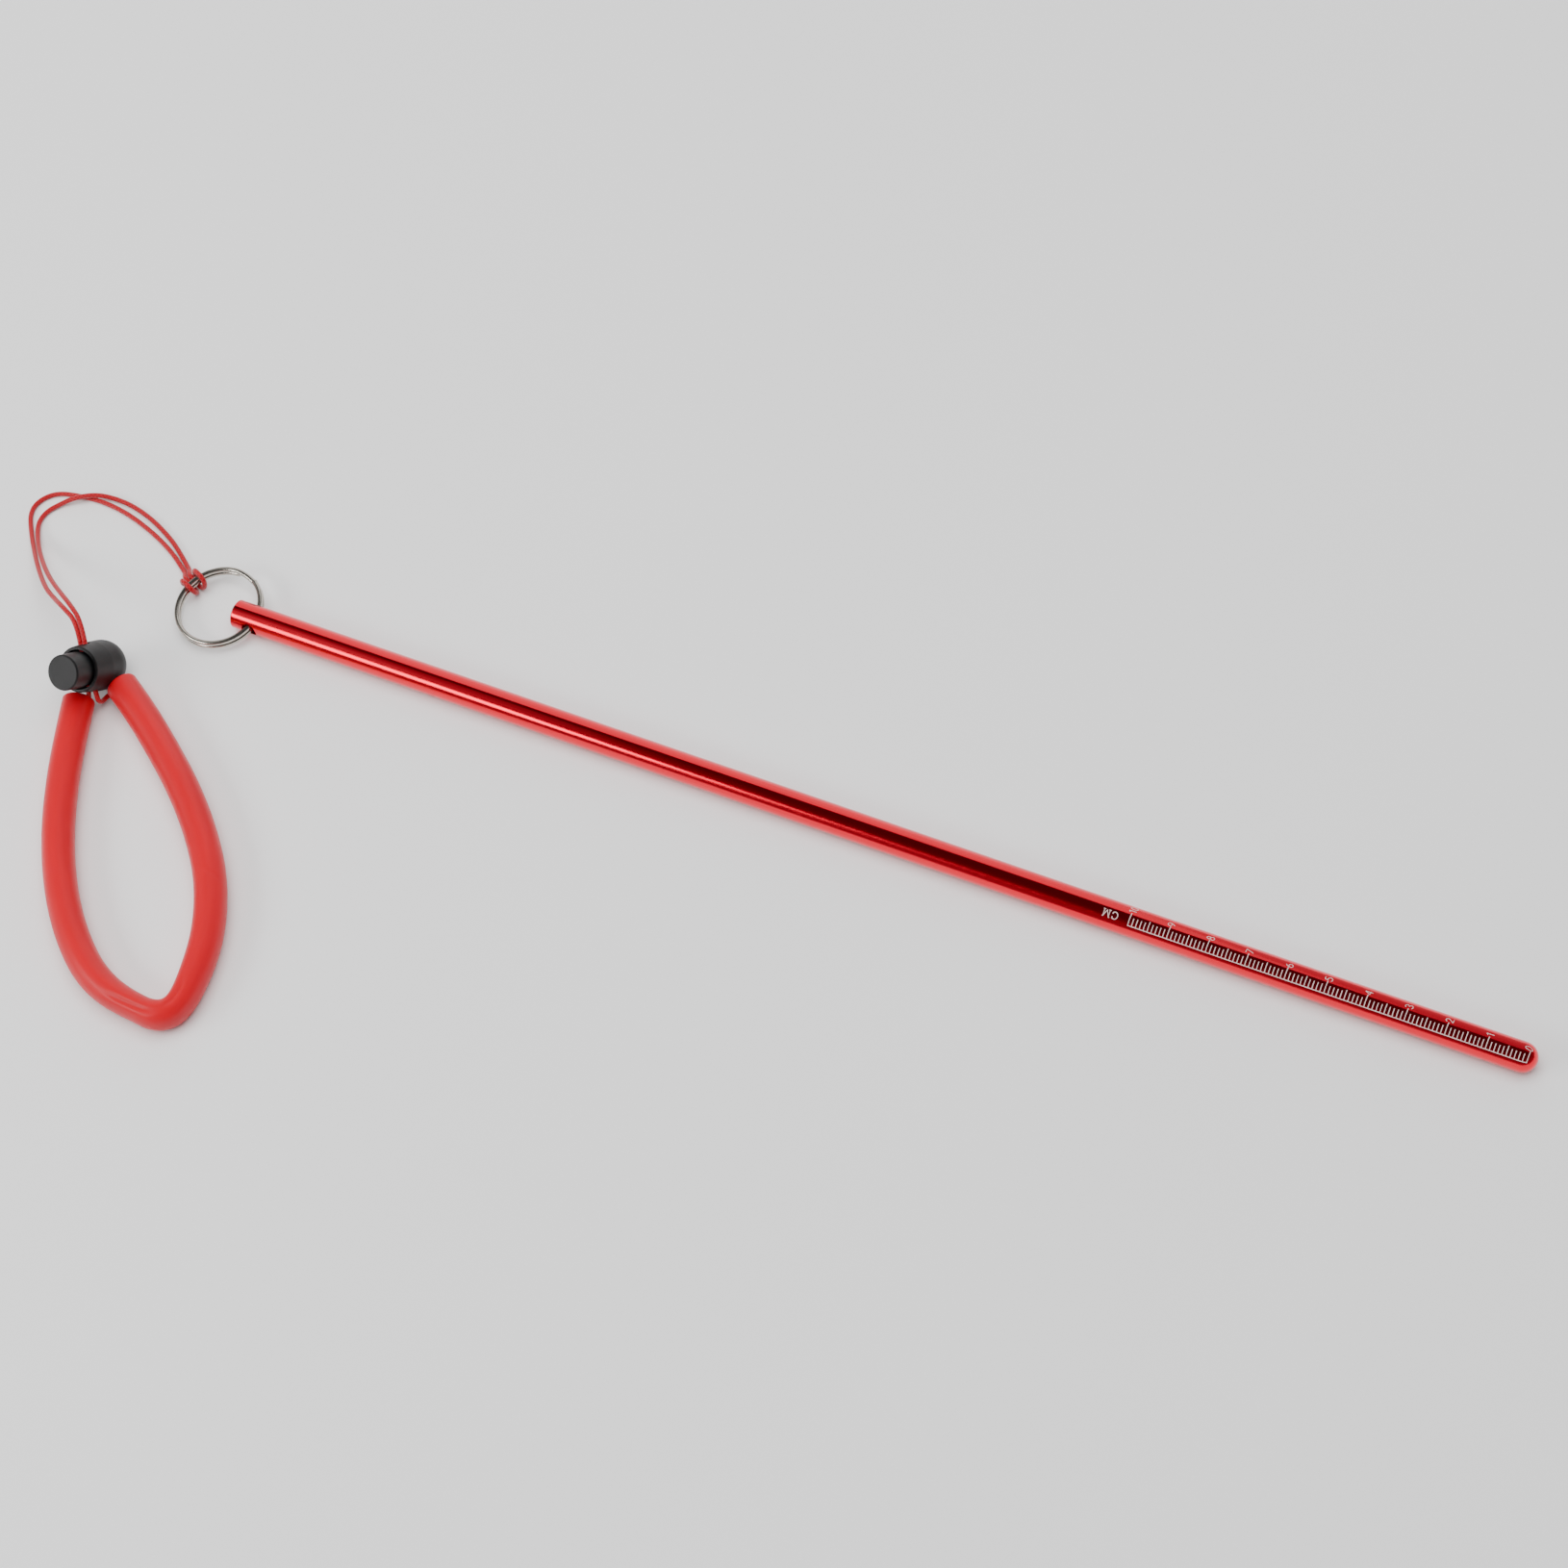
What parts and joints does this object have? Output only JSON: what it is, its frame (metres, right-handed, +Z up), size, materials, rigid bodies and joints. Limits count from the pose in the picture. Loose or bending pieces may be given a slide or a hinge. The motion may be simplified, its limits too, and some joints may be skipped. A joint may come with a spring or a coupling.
{
  "type": "dive pointer stick",
  "caption": "Straight polished pointer rod with a centimetre scale, on a split ring with a thin doubled cord, a spring cord lock and a soft tube wrist loop.",
  "frame": {"origin": "on the ground, under the middle of the rod and its split ring", "axes": "+X along the rod towards its rounded tip, +Z up from the ground that the rod lies on"},
  "size_m": [0.4241, 0.1398, 0.022],
  "materials": {
    "anodised_red": "polished anodised",
    "nickel_steel": "nickel plated",
    "red_braid": "braided nylon",
    "red_sleeve": "satin soft vinyl",
    "black_plastic": "moulded satin",
    "spring_steel": "drawn wire"
  },
  "bodies": {
    "rod": {"pointer_rod": "anodised_red"},
    "ring": {"split_ring": "nickel_steel"},
    "lanyard": {"lanyard_cord": "red_braid", "wrist_cord": "red_braid", "wrist_sleeve": "red_sleeve"},
    "lock": {"lock_barrel": "black_plastic", "lock_spring": "spring_steel"},
    "plunger": {"lock_plunger": "black_plastic"}
  },
  "joints": [
    {"name": "ring_swing", "type": "hinge", "parent": "rod", "child": "ring", "pos_m": [-0.16223, 0, 0.00375], "axis": [0, 1, 0], "range_deg": [-150, 150]},
    {"name": "lanyard_swing", "type": "hinge", "parent": "ring", "child": "lanyard", "pos_m": [-0.18349, 0.00455, 0.00332], "axis": [-0.4041, -0.9121, -0.0687], "range_deg": [-90, 90]},
    {"name": "lock_slide", "type": "slide", "parent": "lanyard", "child": "lock", "axis": [-0.4429, 0.6745, 0.5906], "range_m": [0, 0.004]},
    {"name": "plunger_press", "type": "slide", "parent": "lock", "child": "plunger", "axis": [0.0594, 0.6794, -0.7314], "range_m": [0, 0.003], "stiffness_N_per_m": 300, "springref_m": -0.003, "deforming": ["lock_spring"]}
  ]
}
